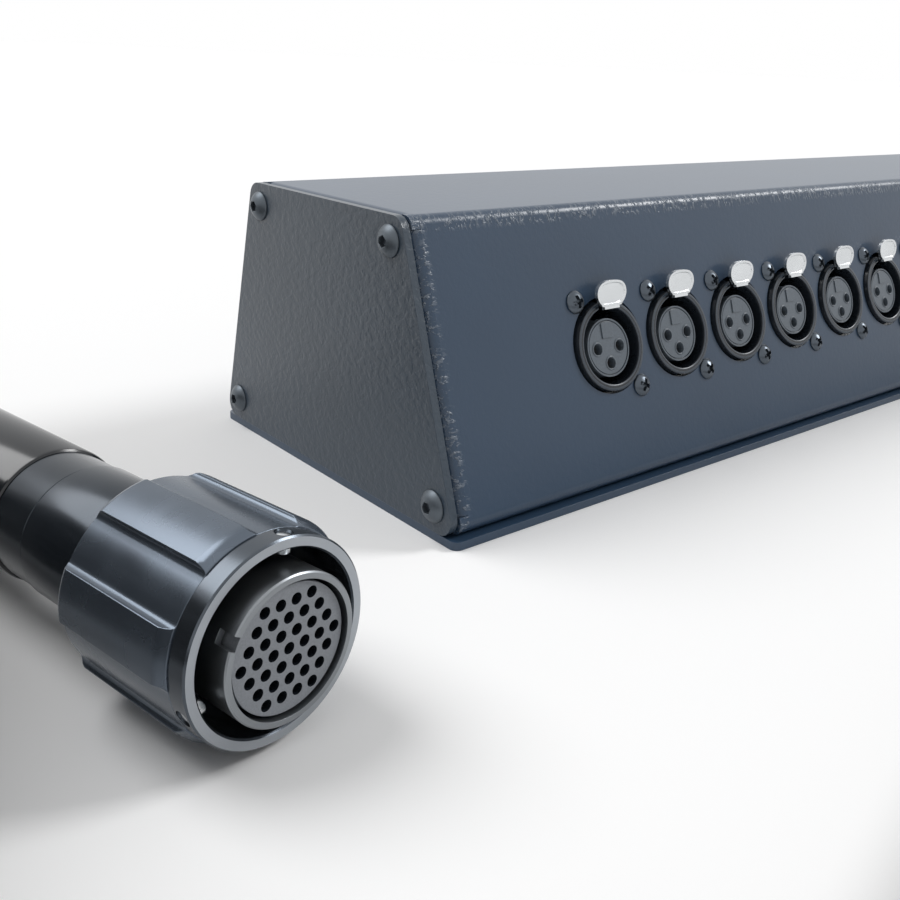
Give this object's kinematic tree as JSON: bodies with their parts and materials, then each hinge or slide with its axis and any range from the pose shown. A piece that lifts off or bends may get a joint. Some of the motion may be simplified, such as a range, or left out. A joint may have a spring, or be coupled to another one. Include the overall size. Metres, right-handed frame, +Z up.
{
  "type": "stage box snake",
  "caption": "Sloping sheet metal stage box with a row of latching panel sockets and a coiled multicore cable that ends in a round multipin plug with a turning coupling ring.",
  "frame": {"origin": "on the floor under the middle of the case", "axes": "+X along the row of sockets, sockets face -Y, +Z up"},
  "size_m": [0.9327, 0.3288, 0.0738],
  "materials": {
    "cover_paint": "textured slate grey powder coat",
    "end_paint": "textured grey powder coat",
    "black_screws": "blackened steel",
    "contact_metal": "plated",
    "socket_black": "satin black",
    "socket_insert_grey": "satin dark grey",
    "bright_steel": "satin bright",
    "plated_metal": "nickel plated",
    "sheath": "satin black sheath",
    "strap_fabric": "woven",
    "grey_shell": "grey anodised",
    "grey_insert": "mid grey",
    "black_anodised": "glossy black anodised",
    "smooth_ring": "glossy dark anodised",
    "black_shell": "glossy black",
    "black_sleeve": "glossy black"
  },
  "bodies": {
    "stagebox": {"cover": "cover_paint", "base_plate": "cover_paint", "end_plate_left": "end_paint", "end_plate_right": "end_paint", "case_screws": "black_screws", "socket_screws": "black_screws", "socket_shell_01": "socket_black", "socket_shell_02": "socket_black", "socket_shell_03": "socket_black", "socket_shell_04": "socket_black", "socket_shell_05": "socket_black", "socket_shell_06": "socket_black", "socket_shell_07": "socket_black", "socket_shell_08": "socket_black", "socket_shell_09": "socket_black", "socket_shell_10": "socket_black", "socket_shell_11": "socket_black", "socket_shell_12": "socket_black", "socket_insert_01": "socket_insert_grey", "socket_insert_02": "socket_insert_grey", "socket_insert_03": "socket_insert_grey", "socket_insert_04": "socket_insert_grey", "socket_insert_05": "socket_insert_grey", "socket_insert_06": "socket_insert_grey", "socket_insert_07": "socket_insert_grey", "socket_insert_08": "socket_insert_grey", "socket_insert_09": "socket_insert_grey", "socket_insert_10": "socket_insert_grey", "socket_insert_11": "socket_insert_grey", "socket_insert_12": "socket_insert_grey", "socket_contacts": "contact_metal", "wiring_loom": "sheath", "gland_body": "plated_metal", "gland_nut": "plated_metal", "gland_locknut": "plated_metal", "multicore_run": "sheath", "multicore_coil": "sheath", "multicore_lead": "sheath", "coil_straps": "strap_fabric", "plug_shell": "grey_shell", "plug_insert": "grey_insert", "plug_contacts": "contact_metal", "wave_spring": "bright_steel", "backshell": "black_shell", "clamp_sleeve": "black_sleeve"},
    "tab_01": {"push_tab_01": "bright_steel"},
    "tab_02": {"push_tab_02": "bright_steel"},
    "tab_03": {"push_tab_03": "bright_steel"},
    "tab_04": {"push_tab_04": "bright_steel"},
    "tab_05": {"push_tab_05": "bright_steel"},
    "tab_06": {"push_tab_06": "bright_steel"},
    "tab_07": {"push_tab_07": "bright_steel"},
    "tab_08": {"push_tab_08": "bright_steel"},
    "tab_09": {"push_tab_09": "bright_steel"},
    "tab_10": {"push_tab_10": "bright_steel"},
    "tab_11": {"push_tab_11": "bright_steel"},
    "tab_12": {"push_tab_12": "bright_steel"},
    "coupling": {"coupling_ring": "black_anodised", "bayonet_ring": "smooth_ring", "bayonet_pins": "bright_steel"}
  },
  "joints": [
    {"name": "push_tab_01_press", "type": "hinge", "parent": "stagebox", "child": "tab_01", "pos_m": [-0.1485, -0.03057, 0.04328], "axis": [-1, 0, 0], "range_deg": [0, 5], "stiffness_Nm_per_rad": 0.4, "springref_deg": -2.86},
    {"name": "push_tab_02_press", "type": "hinge", "parent": "stagebox", "child": "tab_02", "pos_m": [-0.1215, -0.03057, 0.04328], "axis": [-1, 0, 0], "range_deg": [0, 5], "stiffness_Nm_per_rad": 0.4, "springref_deg": -2.86},
    {"name": "push_tab_03_press", "type": "hinge", "parent": "stagebox", "child": "tab_03", "pos_m": [-0.0945, -0.03057, 0.04328], "axis": [-1, 0, 0], "range_deg": [0, 5], "stiffness_Nm_per_rad": 0.4, "springref_deg": -2.86},
    {"name": "push_tab_04_press", "type": "hinge", "parent": "stagebox", "child": "tab_04", "pos_m": [-0.0675, -0.03057, 0.04328], "axis": [-1, 0, 0], "range_deg": [0, 5], "stiffness_Nm_per_rad": 0.4, "springref_deg": -2.86},
    {"name": "push_tab_05_press", "type": "hinge", "parent": "stagebox", "child": "tab_05", "pos_m": [-0.0405, -0.03057, 0.04328], "axis": [-1, 0, 0], "range_deg": [0, 5], "stiffness_Nm_per_rad": 0.4, "springref_deg": -2.86},
    {"name": "push_tab_06_press", "type": "hinge", "parent": "stagebox", "child": "tab_06", "pos_m": [-0.0135, -0.03057, 0.04328], "axis": [-1, 0, 0], "range_deg": [0, 5], "stiffness_Nm_per_rad": 0.4, "springref_deg": -2.86},
    {"name": "push_tab_07_press", "type": "hinge", "parent": "stagebox", "child": "tab_07", "pos_m": [0.0135, -0.03057, 0.04328], "axis": [-1, 0, 0], "range_deg": [0, 5], "stiffness_Nm_per_rad": 0.4, "springref_deg": -2.86},
    {"name": "push_tab_08_press", "type": "hinge", "parent": "stagebox", "child": "tab_08", "pos_m": [0.0405, -0.03057, 0.04328], "axis": [-1, 0, 0], "range_deg": [0, 5], "stiffness_Nm_per_rad": 0.4, "springref_deg": -2.86},
    {"name": "push_tab_09_press", "type": "hinge", "parent": "stagebox", "child": "tab_09", "pos_m": [0.0675, -0.03057, 0.04328], "axis": [-1, 0, 0], "range_deg": [0, 5], "stiffness_Nm_per_rad": 0.4, "springref_deg": -2.86},
    {"name": "push_tab_10_press", "type": "hinge", "parent": "stagebox", "child": "tab_10", "pos_m": [0.0945, -0.03057, 0.04328], "axis": [-1, 0, 0], "range_deg": [0, 5], "stiffness_Nm_per_rad": 0.4, "springref_deg": -2.86},
    {"name": "push_tab_11_press", "type": "hinge", "parent": "stagebox", "child": "tab_11", "pos_m": [0.1215, -0.03057, 0.04328], "axis": [-1, 0, 0], "range_deg": [0, 5], "stiffness_Nm_per_rad": 0.4, "springref_deg": -2.86},
    {"name": "push_tab_12_press", "type": "hinge", "parent": "stagebox", "child": "tab_12", "pos_m": [0.1485, -0.03057, 0.04328], "axis": [-1, 0, 0], "range_deg": [0, 5], "stiffness_Nm_per_rad": 0.4, "springref_deg": -2.86},
    {"name": "coupling_turn", "type": "hinge", "parent": "stagebox", "child": "coupling", "pos_m": [-0.26843, -0.08952, 0.0182], "axis": [0.1736, -0.9848, 0], "range_deg": [0, 120]}
  ]
}
